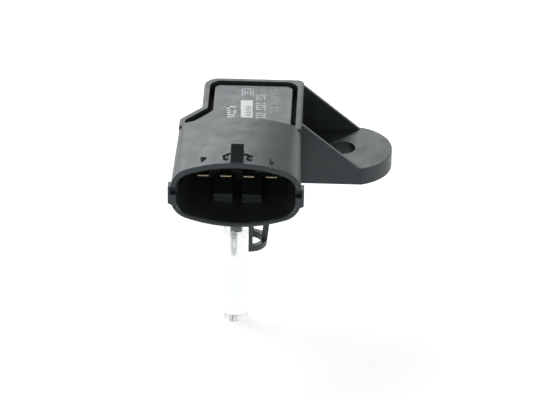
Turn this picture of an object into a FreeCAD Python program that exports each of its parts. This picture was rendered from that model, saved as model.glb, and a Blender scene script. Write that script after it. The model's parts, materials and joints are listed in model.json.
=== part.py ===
import FreeCAD, Part
import math
import os
import Sketcher

# Manifold pressure and temperature sensor with a four-way plug collar.
# The origin lies on the port's axis in the plane of the flange's underside.
# +X points to the screw flange, +Y away from the plug, +Z up and out of the manifold. Millimetres.

# Driving sizes

SIZES = [
    ("rim_top", 15.2, "height of the body's rim above the flange's underside"),
    ("body_back", 10.9, "port axis to the body's back wall"),
    ("body_left", 10.7, "port axis to the body's left wall"),
    ("body_right", 11.65, "port axis to the body's right wall"),
    ("body_front", 12.0, "port axis to the plane where the collar leaves the body"),
    ("shoulder_left", 15.4, "port axis to the left end of the body's shoulder"),
    ("shoulder_start", 2.8, "port axis forward to where the slanted shoulder leaves the left wall"),
    ("shoulder_end", 8.7, "port axis forward to where the slanted shoulder ends"),
    ("corner_back_left", 3.4, "corner radius at the back left"),
    ("corner_back_right", 1.3, "corner radius at the back right"),
    ("corner_shoulder", 1.5, "corner radius at both ends of the shoulder"),
    ("rim_edge", 0.3, "edge radius on top of the rim"),
    ("rim_width", 1.3, "width of the rim round the cover"),
    ("recess_corner", 2.7, "corner radius at the back of the recess inside the rim"),
    ("recess_bend", 1.2, "radius of the recess at the inward bend of the shoulder"),
    ("recess_tip", 0.6, "radius of the cover and the ledges at the tip of the shoulder"),
    ("recess_front", 11.2, "port axis to the front of the recess inside the rim"),
    ("recess_front_corner", 1.2, "corner radius at the front of the recess"),
    ("seam_width", 1.15, "width of the seam between cover and rim"),
    ("cover_drop", 0.5, "cover's top below the rim"),
    ("cover_thick", 1.8, "thickness of the cover"),
    ("cover_bearing", 1.1, "width of the cover's edge that rests on its ledge"),
    ("sealant_rise", 0.5, "height of the sealant bead in the seam"),
    ("board_thick", 0.8, "thickness of the circuit board"),
    ("board_gap", 0.2, "clearance round the circuit board"),
    ("board_bearing", 0.9, "width of the ledge under the circuit board"),
    ("board_headroom", 1.1, "height between the circuit board and the cover"),
    ("chamber_floor", 7.2, "height of the chamber's floor above the flange's underside"),
    ("collar_x", -1.9, "collar's centre line from the port axis"),
    ("collar_z", 10.0, "collar's axis above the flange's underside"),
    ("collar_mouth", 33.0, "port axis to the collar's mouth"),
    ("mouth_width", 28.4, "outer width of the collar at its mouth"),
    ("mouth_height", 15.9, "outer height of the collar at its mouth"),
    ("mouth_arch", 32.0, "radius of the arched top and bottom at the mouth"),
    ("mouth_corner_share", 0.3145, "share of the mouth's height that its corner radius takes"),
    ("root_width", 27.05, "outer width of the collar where it leaves the body"),
    ("root_height", 15.6, "outer height of the collar where it leaves the body"),
    ("root_arch", 42.0, "radius of the arched top and bottom where it leaves the body"),
    ("root_corner", 3.2, "corner radius where the collar leaves the body"),
    ("collar_wall", 1.2, "wall thickness of the collar"),
    ("socket_drop", 0.3, "how far the socket's axis lies below the collar's"),
    ("socket_floor", 14.0, "port axis to the floor of the plug socket"),
    ("mouth_chamfer", 0.35, "lead-in chamfer inside the mouth"),
    ("ear_reach", 0.6, "how far each ear stands out of the collar"),
    ("ear_share", 0.302, "share of the mouth's height that each ear takes"),
    ("ear_drop", 0.65, "how far the ears' middle lies below the collar's axis"),
    ("ear_length", 2.2, "length of each ear along the collar"),
    ("ear_skin", 0.5, "thickness of the ear's skin outside its slot"),
    ("ear_lid", 0.2, "height of the ear above its slot"),
    ("ear_sill", 0.3, "how far the slot's sill lies above the ear's middle"),
    ("latch_width", 2.8, "width of the latch nose"),
    ("latch_rise", 2.5, "height of the latch nose above the collar"),
    ("latch_ramp", 3.9, "length of the latch nose's ramp"),
    ("latch_top", 0.5, "flat length on top of the latch nose"),
    ("latch_offset", 0.15, "how far the latch nose lies to the right of the collar's centre line"),
    ("latch_setback", 0.3, "mouth to the foot of the latch nose"),
    ("key_width", 4.2, "width of each keying pad in the socket"),
    ("key_gap", 2.1, "gap between the keying pads"),
    ("key_rise", 2.0, "height of the keying pads above the socket's wall"),
    ("key_front", 24.0, "port axis to the front of the keying pads"),
    ("pin_pitch", 5.0, "distance between contact blades"),
    ("pin_width", 2.7, "width of a contact blade"),
    ("pin_thick", 0.64, "thickness of a contact blade"),
    ("pin_tip", 24.8, "port axis to the tip of the blades"),
    ("pin_chamfer", 0.2, "chamfer round a blade's tip"),
    ("bend_radius", 0.5, "outer radius of the bend in a terminal"),
    ("tail_width", 1.2, "width of a blade's tail"),
    ("tail_start", 12.4, "port axis to where the blade narrows to its tail"),
    ("tail_step", 9.0, "port axis to where the tail has stepped over to its leg"),
    ("tail_end", 6.2, "port axis to the back of the tail's upturned leg"),
    ("leg_pitch", 3.4, "distance between the tails' upturned legs"),
    ("leg_rise", 0.4, "how far a leg stands above the circuit board"),
    ("flange_thick", 4.1, "thickness of the flange"),
    ("flange_half", 9.4, "half width of the flange across its webs"),
    ("flange_reach", 31.85, "port axis to the end of the flange"),
    ("flange_arc", 9.95, "radius of the flange's end"),
    ("web_thick", 0.8, "thickness of each web"),
    ("web_foot", 24.5, "port axis to the foot of the webs"),
    ("screw_x", 20.75, "port axis to the screw hole's axis"),
    ("screw_radius", 2.85, "radius of the screw hole"),
    ("port_radius", 5.85, "radius of the port"),
    ("port_length", 9.5, "length of the port below the flange's underside"),
    ("port_chamfer", 0.6, "chamfer at the end of the port"),
    ("seal_section", 2.0, "section of the O-ring"),
    ("seal_depth", 1.55, "depth of the O-ring's groove"),
    ("seal_place", 4.3, "flange's underside to the middle of the O-ring"),
    ("seal_room", 0.3, "spare width of the groove beyond the O-ring's section"),
    ("cage_end", 21.4, "flange's underside to the end of the cage"),
    ("cage_top_radius", 5.85, "outer radius of the cage where it leaves the port"),
    ("cage_end_radius", 4.0, "outer radius of the cage at its end"),
    ("cage_wall", 1.25, "wall thickness of the cage"),
    ("cage_ring", 1.5, "height of the ring at the cage's end"),
    ("strut_width", 1.7, "width of each strut of the cage"),
    ("channel_y", 2.0, "port axis back to the pressure channel"),
    ("channel_radius", 1.2, "radius of the pressure channel"),
    ("lead_x", 1.27, "half the distance between the thermistor's leads"),
    ("lead_y", 2.3, "port axis forward to the thermistor's leads"),
    ("lead_radius", 0.25, "radius of a thermistor lead"),
    ("lead_room", 0.12, "clearance round a lead in its hole"),
    ("bead_radius", 1.1, "radius of the thermistor bead"),
    ("bead_depth", 14.0, "flange's underside to the middle of the bead"),
    ("potting_depth", 1.2, "depth of the sealed recess round the leads"),
    ("potting_width", 4.2, "width of the sealed recess round the leads"),
    ("potting_length", 1.4, "length of the sealed recess round the leads"),
    ("cell_size", 7.0, "side of the square sensor cell"),
    ("cell_well", 5.2, "side of the cell's square well"),
    ("cell_bore", 0.9, "radius of the bore in the cell's base"),
    ("cell_base", 1.2, "thickness of the cell's base"),
    ("cell_shelf", 0.7, "width of the bonding shelves in the well"),
    ("glue_thick", 0.2, "thickness of the glue ring under the cell"),
    ("glue_radius", 2.6, "outer radius of the glue ring under the cell"),
    ("die_size", 2.4, "side of the square silicon die"),
    ("die_thick", 0.4, "thickness of the silicon die"),
    ("pedestal_thick", 1.0, "thickness of the glass pedestal"),
    ("pedestal_bore", 0.5, "radius of the pedestal's bore"),
    ("wire_radius", 0.06, "radius of a bond wire"),
    ("wire_spacing", 1.2, "distance between the bond wires of one side"),
    ("gel_drop", 0.2, "gel's surface below the top of the cell"),
    ("chip_length", 3.6, "length of the signal chip"),
    ("chip_width", 3.0, "width of the signal chip"),
    ("chip_height", 0.8, "height of the signal chip"),
    ("cap_length", 1.6, "length of a capacitor"),
    ("cap_width", 0.8, "width and height of a capacitor"),
    ("cap_pitch", 2.2, "distance between the capacitors"),
    ("cap_y", 0.6, "port axis forward to the capacitors"),
    ("solder_radius", 0.95, "radius of a terminal's solder joint at the board"),
    ("solder_small", 0.75, "radius of a lead's solder joint at the board"),
    ("solder_slope", 0.2, "how much a solder joint narrows towards its top"),
    ("solder_rise", 0.35, "height of a solder joint"),
    ("rod_radius", 2.75, "radius of the clear rod"),
    ("rod_x", 2.12, "port axis to the clear rod, to the left"),
    ("rod_y", 23.0, "port axis forward to the clear rod"),
    ("rod_end", 26.9, "flange's underside to the rod's lower end"),
    ("rod_edge", 0.25, "chamfer at the rod's lower end"),
    ("peg_radius", 1.4, "radius of the peg in the top of the rod"),
    ("peg_end", 4.0, "flange's underside to the peg's lower end"),
    ("peg_room", 0.05, "clearance round the peg"),
]

doc = FreeCAD.newDocument("pressure_sensor")
sheet = doc.addObject("Spreadsheet::Sheet", "Sizes")
for row, (alias, number, note) in enumerate(SIZES, start=1):
    sheet.set(f"A{row}", note)
    sheet.set(f"B{row}", str(number))
    sheet.setAlias(f"B{row}", alias)
doc.recompute()


class Value:
    """A number together with the spreadsheet expression that gives it."""

    def __init__(self, text, number):
        self.text = text
        self.number = number

    def __add__(self, other):
        other = as_value(other)
        return Value(f"({self.text} + {other.text})", self.number + other.number)

    def __sub__(self, other):
        other = as_value(other)
        return Value(f"({self.text} - {other.text})", self.number - other.number)

    def __mul__(self, other):
        other = as_value(other)
        return Value(f"({self.text} * {other.text})", self.number * other.number)

    def __truediv__(self, other):
        other = as_value(other)
        return Value(f"({self.text} / {other.text})", self.number / other.number)

    def __neg__(self):
        return Value(f"(0 - {self.text})", -self.number)

    def __radd__(self, other):
        return as_value(other) + self

    def __rsub__(self, other):
        return as_value(other) - self

    def __rmul__(self, other):
        return as_value(other) * self


def as_value(number):
    """A plain number as a value; a value stays as it is."""
    return number if isinstance(number, Value) else Value(repr(float(number)), float(number))


def root(value):
    """The square root of a value."""
    return Value(f"sqrt({value.text})", math.sqrt(value.number))


class Sheet:
    """The driving sizes as attributes, each a value bound to its cell."""

    def __getattr__(self, alias):
        return Value(f"Sizes.{alias}", float(getattr(sheet, alias)))


s = Sheet()
ZERO = as_value(0)

# Helpers for sketches and features


def bind(thing, name, value):
    """Bind one size of an object to the sheet."""
    thing.setExpression(name, as_value(value).text)


def new_body(label):
    """An empty body whose label is the name of its piece."""
    body = doc.addObject("PartDesign::Body", label + "_body")
    body.Label = label
    return body


def plane_of(body, role):
    """One of the body's own origin planes or axes, found by its role."""
    return next(item for item in body.Origin.OriginFeatures if item.Role == role)


def new_sketch(body, name, role, offset):
    """A sketch on an origin plane, moved along the plane's normal. XZ_Plane's normal points to -Y."""
    sketch = body.newObject("Sketcher::SketchObject", name)
    sketch.AttachmentSupport = [(plane_of(body, role), "")]
    sketch.MapMode = "FlatFace"
    bind(sketch, "AttachmentOffset.Base.z", offset)
    return sketch


def hold(sketch, kind, value, *places):
    """Add a dimension to the sketch and bind it to the sheet."""
    index = sketch.addConstraint(Sketcher.Constraint(kind, *places, value.number))
    sketch.setExpression(f"Constraints[{index}]", value.text)


def hold_point(sketch, geometry, place, x, y):
    """Fix a point of the sketch at x, y from the sketch's origin."""
    hold(sketch, "DistanceX", as_value(x), -1, 1, geometry, place)
    hold(sketch, "DistanceY", as_value(y), -1, 1, geometry, place)


def polygon(sketch, points):
    """A closed outline of straight lines through points."""
    points = [(as_value(x), as_value(y)) for x, y in points]
    first = sketch.GeometryCount
    corners = [FreeCAD.Vector(x.number, y.number, 0) for x, y in points]
    for number, corner in enumerate(corners):
        following = corners[(number + 1) % len(corners)]
        sketch.addGeometry(Part.LineSegment(corner, following), False)
    for number, (x, y) in enumerate(points):
        following = first + (number + 1) % len(points)
        sketch.addConstraint(Sketcher.Constraint("Coincident", first + number, 2, following, 1))
        hold_point(sketch, first + number, 1, x, y)


def rectangle(sketch, x0, x1, y0, y1):
    """An upright rectangle between two corners."""
    polygon(sketch, [(x0, y0), (x1, y0), (x1, y1), (x0, y1)])


def circle(sketch, x, y, radius):
    """A circle with its centre at x, y."""
    x = as_value(x)
    y = as_value(y)
    radius = as_value(radius)
    centre = FreeCAD.Vector(x.number, y.number, 0)
    geometry = sketch.addGeometry(Part.Circle(centre, FreeCAD.Vector(0, 0, 1), radius.number), False)
    hold_point(sketch, geometry, 3, x, y)
    hold(sketch, "Radius", radius, geometry)


def oval(sketch, centre_z, width, height, arch, corner):
    """The collar's outline: arched top and bottom, rounded corners, short straight ends."""
    half = width / 2
    rise = height / 2
    corner_x = (half - corner).number
    corner_y = rise.number - arch.number + math.sqrt((arch - corner).number ** 2 - corner_x ** 2)
    lean = math.atan2(corner_y - rise.number + arch.number, corner_x)
    middle = FreeCAD.Vector(s.collar_x.number, centre_z.number, 0)
    normal = FreeCAD.Vector(0, 0, 1)

    def arc(x, y, radius, start, end):
        centre = middle + FreeCAD.Vector(x, y, 0)
        return Part.ArcOfCircle(Part.Circle(centre, normal, radius), start, end)

    def side(x, y0, y1):
        return Part.LineSegment(middle + FreeCAD.Vector(x, y0, 0), middle + FreeCAD.Vector(x, y1, 0))

    first = sketch.GeometryCount
    turn = math.pi
    arch_y = rise.number - arch.number
    pieces = [
        side(half.number, -corner_y, corner_y),
        arc(corner_x, corner_y, corner.number, 0, lean),
        arc(0, arch_y, arch.number, lean, turn - lean),
        arc(-corner_x, corner_y, corner.number, turn - lean, turn),
        side(-half.number, corner_y, -corner_y),
        arc(-corner_x, -corner_y, corner.number, turn, turn + lean),
        arc(0, -arch_y, arch.number, turn + lean, 2 * turn - lean),
        arc(corner_x, -corner_y, corner.number, 2 * turn - lean, 2 * turn),
    ]
    sketch.addGeometry(pieces, False)
    for number in range(len(pieces)):
        following = first + (number + 1) % len(pieces)
        sketch.addConstraint(Sketcher.Constraint("Tangent", first + number, 2, following, 1))
    right, top, left, bottom = first, first + 2, first + 4, first + 6
    sketch.addConstraint(Sketcher.Constraint("Vertical", right))
    sketch.addConstraint(Sketcher.Constraint("Vertical", left))
    for number in (1, 3, 5, 7):
        hold(sketch, "Radius", corner, first + number)
    for number in (top, bottom):
        hold(sketch, "Radius", arch, number)
    hold_point(sketch, top, 3, s.collar_x, centre_z + rise - arch)
    hold_point(sketch, bottom, 3, s.collar_x, centre_z - rise + arch)
    hold(sketch, "DistanceX", s.collar_x + half, -1, 1, right, 1)
    hold(sketch, "DistanceX", s.collar_x - half, -1, 1, left, 1)


def pad(body, sketch, length, reverse=False):
    """Add material along the sketch's normal, or against it."""
    feature = body.newObject("PartDesign::Pad", sketch.Name + "_pad")
    feature.Profile = sketch
    bind(feature, "Length", length)
    feature.Reversed = reverse
    sketch.Visibility = False
    doc.recompute()
    return feature


def pocket(body, sketch, length, reverse=False):
    """Cut against the sketch's normal, or along it, and make sure that something was cut."""
    before = body.Tip.Shape.Volume
    feature = body.newObject("PartDesign::Pocket", sketch.Name + "_pocket")
    feature.Profile = sketch
    bind(feature, "Length", length)
    feature.Reversed = reverse
    doc.recompute()
    if feature.Shape.Volume >= before:
        raise RuntimeError(f"{feature.Name} cuts nothing")
    return feature


def revolve(body, sketch):
    """Turn the sketch once round its own vertical axis."""
    feature = body.newObject("PartDesign::Revolution", sketch.Name + "_turned")
    feature.Profile = sketch
    feature.ReferenceAxis = (sketch, ["V_Axis"])
    feature.Angle = 360
    doc.recompute()
    return feature


def edges_where(feature, test):
    """The names of the feature's edges whose two ends and middle pass a test."""
    names = []
    for number, edge in enumerate(feature.Shape.Edges, start=1):
        middle = edge.valueAt((edge.FirstParameter + edge.LastParameter) / 2)
        ends = [vertex.Point for vertex in edge.Vertexes]
        if all(test(point) for point in ends + [middle]):
            names.append(f"Edge{number}")
    return names


def soften(body, kind, names, size, label):
    """Round or chamfer named edges of the body's last feature."""
    base = body.Tip
    feature = body.newObject(f"PartDesign::{kind}", label)
    feature.Base = (base, names)
    bind(feature, "Radius" if kind == "Fillet" else "Size", size)
    doc.recompute()
    return feature


NEAR = 0.02


def near(a, b):
    """Whether two lengths are the same to a fiftieth of a millimetre."""
    return abs(a - b) < NEAR


def round_uprights(body, corners, radius, low, high, label):
    """Round the upright edges of the last feature that stand on corners, between two heights."""
    places = [(x.number, y.number) for x, y in corners]

    def upright(point):
        on_corner = any(near(point.x, x) and near(point.y, y) for x, y in places)
        return on_corner and low.number - NEAR < point.z < high.number + NEAR

    return soften(body, "Fillet", edges_where(body.Tip, upright), radius, label)


def primitive(kind, label, x, y, z, **sizes):
    """A Part primitive placed at x, y, z with its sizes bound to the sheet."""
    thing = doc.addObject(f"Part::{kind}", label)
    for name, value in sizes.items():
        bind(thing, name, value)
    for axis, value in zip("xyz", (x, y, z)):
        bind(thing, f"Placement.Base.{axis}", value)
    return thing


def block(label, x, y, z, length, width, height):
    """A box centred on x and y that stands on z."""
    length = as_value(length)
    width = as_value(width)
    corner_x = as_value(x) - length / 2
    corner_y = as_value(y) - width / 2
    return primitive("Box", label, corner_x, corner_y, z, Length=length, Width=width, Height=height)


def cut(label, base, tool):
    """One shape less another."""
    thing = doc.addObject("Part::Cut", label)
    thing.Base = base
    thing.Tool = tool
    return thing


def fuse(label, things):
    """Several shapes as one."""
    thing = doc.addObject("Part::MultiFuse", label)
    thing.Shapes = things
    return thing


# Heights and insets that several pieces share

cover_top = s.rim_top - s.cover_drop
cover_seat = cover_top - s.cover_thick
board_top = cover_seat - s.board_headroom
board_seat = board_top - s.board_thick
cover_inset = s.rim_width + s.seam_width
upper_inset = cover_inset + s.cover_bearing
board_inset = upper_inset + s.board_gap
lower_inset = upper_inset + s.board_bearing
pin_low = s.collar_z - s.pin_thick / 2
cell_low = s.chamber_floor + s.glue_thick
die_top = cell_low + s.cell_base + s.pedestal_thick + s.die_thick
PINS = 4
pin_places = [s.collar_x + ((PINS - 1) / 2 - number) * s.pin_pitch for number in range(PINS)]
leg_places = [s.collar_x + ((PINS - 1) / 2 - number) * s.leg_pitch for number in range(PINS)]


run = s.shoulder_left - s.body_left
fall = s.shoulder_end - s.shoulder_start
slant = (root(run * run + fall * fall) - fall) / run


def plan_corners(inset):
    """The room inside the body's plan, drawn in by inset: back left, back right, front right, tip and bend."""
    left = inset - s.body_left
    right = s.body_right - inset
    back = s.body_back - inset
    front = inset - s.rim_width - s.recess_front
    bend = -s.shoulder_start - inset * slant
    tip = left - (bend - front) * run / fall
    return [(left, back), (right, back), (right, front), (tip, front), (left, bend)]


def plan_sketch(body, name, inset, height):
    """A sketch of that room at a height."""
    sketch = new_sketch(body, name, "XY_Plane", height)
    polygon(sketch, plan_corners(inset))
    return sketch


def round_plan(body, inset, low, high, label):
    """Round the upright corners of that room between two heights."""
    drawn = inset - s.rim_width
    corners = plan_corners(inset)
    round_uprights(body, corners[:2], s.recess_corner - drawn, low, high, label + "_back")
    round_uprights(body, corners[2:4], s.recess_tip, low, high, label + "_front")
    round_uprights(body, corners[4:], s.recess_bend + drawn, low, high, label + "_bend")


def recess_corners():
    """The recess inside the rim: the same room at the rim's width, with its tip cut off along the shoulder's end."""
    corners = plan_corners(s.rim_width)
    front = -s.recess_front
    wide = s.rim_width - s.shoulder_left
    end = -s.shoulder_end - s.rim_width * slant
    return corners[:3] + [(wide, front), (wide, end)] + corners[4:]


def recess_sketch(body, name, height):
    """A sketch of the recess inside the rim at a height."""
    sketch = new_sketch(body, name, "XY_Plane", height)
    polygon(sketch, recess_corners())
    return sketch


def round_recess(body, low, high, label):
    """Round the upright corners of the recess between two heights."""
    corners = recess_corners()
    round_uprights(body, corners[:2], s.recess_corner, low, high, label + "_back")
    round_uprights(body, corners[2:4], s.recess_front_corner, low, high, label + "_front")
    round_uprights(body, corners[4:], s.recess_bend, low, high, label + "_bends")


def collar_half(distance):
    """Half the collar's outer height at a distance from the port's axis."""
    share = (distance - s.body_front) / (s.collar_mouth - s.body_front)
    return (s.root_height + (s.mouth_height - s.root_height) * share) / 2


# Housing: body shell

housing = new_body("housing")
outer = [
    (-s.body_left, s.body_back),
    (s.body_right, s.body_back),
    (s.body_right, -s.body_front),
    (-s.shoulder_left, -s.body_front),
    (-s.shoulder_left, -s.shoulder_end),
    (-s.body_left, -s.shoulder_start),
]
shell = new_sketch(housing, "shell", "XY_Plane", ZERO)
polygon(shell, outer)
pad(housing, shell, s.rim_top)
round_uprights(housing, outer[:1], s.corner_back_left, ZERO, s.rim_top, "round_back_left")
round_uprights(housing, outer[1:2], s.corner_back_right, ZERO, s.rim_top, "round_back_right")
round_uprights(housing, outer[4:], s.corner_shoulder, ZERO, s.rim_top, "round_shoulder")
rim = edges_where(housing.Tip, lambda point: near(point.z, s.rim_top.number))
rim = [name for name in rim if housing.Tip.Shape.getElement(name).CenterOfMass.y > NEAR - s.body_front.number]
soften(housing, "Fillet", rim, s.rim_edge, "round_rim")

# Housing: plug collar and flange

root_oval = new_sketch(housing, "collar_root", "XZ_Plane", s.body_front)
oval(root_oval, s.collar_z, s.root_width, s.root_height, s.root_arch, s.root_corner)
mouth_oval = new_sketch(housing, "collar_mouth_outline", "XZ_Plane", s.collar_mouth)
mouth_corner = s.mouth_height * s.mouth_corner_share
oval(mouth_oval, s.collar_z, s.mouth_width, s.mouth_height, s.mouth_arch, mouth_corner)
collar = housing.newObject("PartDesign::AdditiveLoft", "collar")
collar.Profile = root_oval
collar.Sections = [mouth_oval]
doc.recompute()

flange_centre = s.flange_reach - s.flange_arc
flange_corner = flange_centre + root(s.flange_arc * s.flange_arc - s.flange_half * s.flange_half)
flange = new_sketch(housing, "flange", "XY_Plane", ZERO)
swing = math.asin(s.flange_half.number / s.flange_arc.number)
middle = FreeCAD.Vector(flange_centre.number, 0, 0)
end_circle = Part.Circle(middle, FreeCAD.Vector(0, 0, 1), s.flange_arc.number)
near_corner = FreeCAD.Vector(flange_corner.number, -s.flange_half.number, 0)
far_corner = FreeCAD.Vector(flange_corner.number, s.flange_half.number, 0)
near_root = FreeCAD.Vector(0, -s.flange_half.number, 0)
far_root = FreeCAD.Vector(0, s.flange_half.number, 0)
flange.addGeometry(Part.LineSegment(near_root, near_corner), False)
flange.addGeometry(Part.ArcOfCircle(end_circle, -swing, swing), False)
flange.addGeometry(Part.LineSegment(far_corner, far_root), False)
flange.addGeometry(Part.LineSegment(far_root, near_root), False)
for number in range(4):
    flange.addConstraint(Sketcher.Constraint("Coincident", number, 2, (number + 1) % 4, 1))
hold_point(flange, 0, 1, ZERO, -s.flange_half)
hold_point(flange, 3, 1, ZERO, s.flange_half)
flange.addConstraint(Sketcher.Constraint("Horizontal", 0))
flange.addConstraint(Sketcher.Constraint("Horizontal", 2))
hold_point(flange, 1, 3, flange_centre, ZERO)
hold(flange, "Radius", s.flange_arc, 1)
pad(housing, flange, s.flange_thick)

# The webs stiffen the flange: each slants from the rim down to the flange, flush with its side.
web = new_sketch(housing, "web", "XZ_Plane", s.flange_half - s.web_thick)
web_root = s.body_right - s.rim_width
polygon(web, [
    (web_root, s.flange_thick / 2),
    (web_root, s.rim_top - s.rim_edge),
    (s.body_right, s.rim_top - s.rim_edge),
    (s.web_foot, s.flange_thick),
    (s.web_foot, s.flange_thick / 2),
])
web_pad = pad(housing, web, s.web_thick)
mirrored = housing.newObject("PartDesign::Mirrored", "rear_web")
mirrored.Originals = [web_pad]
mirrored.MirrorPlane = (plane_of(housing, "XZ_Plane"), [""])
housing.Tip = mirrored
doc.recompute()

# Housing: port with the O-ring's groove, and the cage that guards the thermistor

STRUTS = 4

groove_radius = s.port_radius - s.seal_depth
groove_half = (s.seal_section + s.seal_room) / 2
port = new_sketch(housing, "port", "XZ_Plane", ZERO)
polygon(port, [
    (0, s.flange_thick / 2),
    (s.port_radius, s.flange_thick / 2),
    (s.port_radius, groove_half - s.seal_place),
    (groove_radius, groove_half - s.seal_place),
    (groove_radius, -groove_half - s.seal_place),
    (s.port_radius, -groove_half - s.seal_place),
    (s.port_radius, s.port_chamfer - s.port_length),
    (s.port_radius - s.port_chamfer, -s.port_length),
    (0, -s.port_length),
])
revolve(housing, port)

cage_slope = (s.cage_top_radius - s.cage_end_radius) / (s.cage_end - s.port_length)
cage_start = s.port_length - s.port_chamfer
cage_start_radius = s.cage_top_radius - s.port_chamfer
cage = new_sketch(housing, "cage", "XZ_Plane", ZERO)
polygon(cage, [
    (cage_start_radius - s.cage_wall, -cage_start),
    (cage_start_radius, -cage_start),
    (s.cage_top_radius - s.port_chamfer, -s.port_length),
    (s.cage_end_radius, -s.cage_end),
    (s.cage_end_radius - s.cage_wall, -s.cage_end),
])
revolve(housing, cage)
window_top = s.cage_end - s.cage_ring
window = new_sketch(housing, "cage_window", "XY_Plane", -window_top)
rectangle(window, s.strut_width / 2, s.port_radius, s.strut_width / 2, s.port_radius)
window_cut = pocket(housing, window, window_top - s.port_length, reverse=True)
windows = housing.newObject("PartDesign::PolarPattern", "cage_windows")
windows.Originals = [window_cut]
windows.Axis = (plane_of(housing, "Z_Axis"), [""])
windows.Angle = 360
windows.Occurrences = STRUTS
housing.Tip = windows
doc.recompute()

# Housing: recess for the cover, ledge for the circuit board and the chamber below it

recess = recess_sketch(housing, "recess", s.rim_top)
pocket(housing, recess, s.rim_top - cover_seat)
round_recess(housing, cover_seat, s.rim_top, "round_recess")
upper = plan_sketch(housing, "board_recess", upper_inset, cover_seat)
pocket(housing, upper, cover_seat - board_seat)
lower = plan_sketch(housing, "chamber", lower_inset, board_seat)
pocket(housing, lower, board_seat - s.chamber_floor)

# Housing: plug socket, keying pads, ears and latch nose

mouth_inner = new_sketch(housing, "socket_mouth", "XZ_Plane", s.collar_mouth)
twice = 2 * s.collar_wall
socket_z = s.collar_z - s.socket_drop
oval(mouth_inner, socket_z, s.mouth_width - twice, s.mouth_height - twice,
     s.mouth_arch - s.collar_wall, mouth_corner - s.collar_wall)
floor_inner = new_sketch(housing, "socket_floor_outline", "XZ_Plane", s.socket_floor)
oval(floor_inner, socket_z, s.root_width - twice, s.root_height - twice,
     s.root_arch - s.collar_wall, s.root_corner - s.collar_wall)
socket = housing.newObject("PartDesign::SubtractiveLoft", "socket")
socket.Profile = mouth_inner
socket.Sections = [floor_inner]
doc.recompute()

mouth_face = next(face for face in housing.Tip.Shape.Faces if near(face.CenterOfMass.y, -s.collar_mouth.number))
mouth_edges = [edge for wire in mouth_face.Wires if not wire.isSame(mouth_face.OuterWire) for edge in wire.Edges]
inner_names = [f"Edge{number}" for number, edge in enumerate(housing.Tip.Shape.Edges, start=1)
               if any(edge.isSame(other) for other in mouth_edges)]
soften(housing, "Chamfer", inner_names, s.mouth_chamfer, "mouth_lead_in")

key_ends = [(s.socket_floor, collar_half(s.socket_floor)), (s.key_front, collar_half(s.key_front))]
floor_rise = s.collar_wall - s.socket_drop
for side, start in (("right", s.key_gap / 2), ("left", -s.key_gap / 2 - s.key_width)):
    key = new_sketch(housing, f"keying_pad_{side}", "YZ_Plane", s.collar_x + start)
    lower = [(-place, s.collar_z - half + floor_rise / 2) for place, half in key_ends]
    upper = [(-place, s.collar_z - half + floor_rise + s.key_rise) for place, half in reversed(key_ends)]
    polygon(key, lower + upper)
    pad(housing, key, s.key_width)

ears = new_sketch(housing, "ears", "XZ_Plane", s.collar_mouth - s.ear_length)
ear_z = s.collar_z - s.ear_drop
ear_half = s.mouth_height * s.ear_share / 2
for direction in (-1, 1):
    wall_side = s.collar_x + direction * (s.mouth_width - s.collar_wall) / 2
    proud_side = s.collar_x + direction * (s.mouth_width / 2 + s.ear_reach)
    polygon(ears, [
        (wall_side, ear_z - ear_half),
        (proud_side, ear_z - ear_half + s.ear_reach),
        (proud_side, ear_z + ear_half),
        (wall_side, ear_z + ear_half),
    ])
pad(housing, ears, s.ear_length)
ear_slots = new_sketch(housing, "ear_slots", "XZ_Plane", s.collar_mouth)
for direction in (-1, 1):
    inner_side = s.collar_x + direction * (s.mouth_width / 2 - 2 * s.collar_wall)
    outer_side = s.collar_x + direction * (s.mouth_width / 2 + s.ear_reach - s.ear_skin)
    rectangle(ear_slots, inner_side, outer_side, ear_z + s.ear_sill, ear_z + ear_half - s.ear_lid)
pocket(housing, ear_slots, s.ear_length - s.ear_skin)

latch = new_sketch(housing, "latch_nose", "YZ_Plane", s.collar_x + s.latch_offset - s.latch_width / 2)
latch_front = s.collar_mouth - s.latch_setback
latch_crest = latch_front - s.latch_ramp
latch_back = latch_crest - s.latch_top
collar_top = s.collar_z + collar_half(latch_front)
polygon(latch, [
    (-latch_front, s.collar_z + collar_half(latch_front) - s.collar_wall / 2),
    (-latch_front, collar_top),
    (-latch_crest, collar_top + s.latch_rise),
    (-latch_back, collar_top + s.latch_rise),
    (-latch_back, s.collar_z + collar_half(latch_back) - s.collar_wall / 2),
])
pad(housing, latch, s.latch_width)

# Housing: slots moulded round the terminals, pressure channel, lead holes and the screw hole


def blade_outline(sketch, x, leg):
    """The flat outline of a terminal: a wide blade whose narrow tail steps over to its leg inside the wall."""
    blade = s.pin_width / 2
    tail = s.tail_width / 2
    polygon(sketch, [
        (x - blade, -s.pin_tip),
        (x + blade, -s.pin_tip),
        (x + blade, -s.tail_start),
        (x + tail, -s.tail_start),
        (leg + tail, -s.tail_step),
        (leg + tail, -s.tail_end),
        (leg - tail, -s.tail_end),
        (leg - tail, -s.tail_step),
        (x - tail, -s.tail_start),
        (x - blade, -s.tail_start),
    ])


slots = new_sketch(housing, "terminal_slots", "XY_Plane", pin_low)
for place, leg_place in zip(pin_places, leg_places):
    blade_outline(slots, place, leg_place)
pocket(housing, slots, s.pin_thick, reverse=True)

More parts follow.
